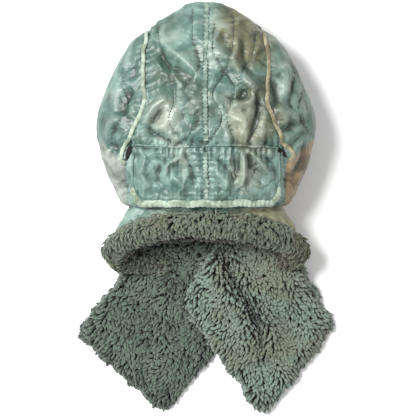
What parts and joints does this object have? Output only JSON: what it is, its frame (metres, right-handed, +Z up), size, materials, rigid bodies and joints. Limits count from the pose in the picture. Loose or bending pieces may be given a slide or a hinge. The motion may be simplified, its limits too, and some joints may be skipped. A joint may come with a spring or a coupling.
{
  "type": "trapper hat",
  "caption": "Quilted trapper hat with a pulled-in waist, a back flap, a pile lining, a neck skirt and two pile scarf ends, lying on its front.",
  "frame": {"origin": "on the surface that the hat lies on, at the middle of its outline", "axes": "+Z up out of the back of the hat, +Y from the neck to the crown, +X to the wearer's right"},
  "size_m": [0.3222, 0.5274, 0.1222],
  "materials": {
    "nylon_teal": "satin",
    "nylon_tan": "satin",
    "binding_tape": "matte",
    "pile": "matte",
    "wadding": "matte",
    "lining_cloth": "matte",
    "elastic": "matte"
  },
  "bodies": {
    "hat": {"centre_seam_tape": "binding_tape", "crown_panel_left": "nylon_teal", "crown_panel_right": "nylon_teal", "crown_wadding_left": "wadding", "crown_wadding_right": "wadding", "face_binding": "binding_tape", "gusset_panel_left": "nylon_tan", "gusset_panel_right": "nylon_tan", "gusset_wadding_left": "wadding", "gusset_wadding_right": "wadding", "hem_fleece_left": "pile", "hem_fleece_right": "pile", "lining_centre": "pile", "lining_side_left": "pile", "lining_side_right": "pile", "nape_panel": "nylon_teal", "nape_wadding": "wadding", "scarf_root_left": "pile", "scarf_root_right": "pile", "side_panel_left": "nylon_teal", "side_panel_right": "nylon_teal", "side_piping_left": "binding_tape", "side_piping_right": "binding_tape", "side_wadding_left": "wadding", "side_wadding_right": "wadding", "skirt_lining_left": "pile", "skirt_lining_right": "pile", "skirt_panel_left": "nylon_teal", "skirt_panel_right": "nylon_tan", "skirt_wadding_left": "wadding", "skirt_wadding_right": "wadding", "waist_casing": "binding_tape", "waist_elastic": "elastic"},
    "back_flap": {"flap_backing": "lining_cloth", "flap_binding": "binding_tape", "flap_panel_left": "nylon_teal", "flap_panel_right": "nylon_teal", "flap_seam_tape": "binding_tape", "flap_wadding_left": "wadding", "flap_wadding_right": "wadding"},
    "scarf_left": {"scarf_end_left": "pile"},
    "scarf_right": {"scarf_end_right": "pile"}
  },
  "joints": [
    {"name": "flap_lift", "type": "hinge", "parent": "hat", "child": "back_flap", "pos_m": [0, 0.067, 0.1215], "axis": [-1, 0, 0], "range_deg": [0, 100]},
    {"name": "scarf_left_fold", "type": "hinge", "parent": "hat", "child": "scarf_left", "pos_m": [0.002, -0.201, 0.012], "axis": [-0.7934, 0.6088, 0], "range_deg": [0, 90]},
    {"name": "scarf_right_fold", "type": "hinge", "parent": "hat", "child": "scarf_right", "pos_m": [0.013, -0.185, 0.0255], "axis": [-0.7986, -0.6018, 0], "range_deg": [0, 90]}
  ]
}
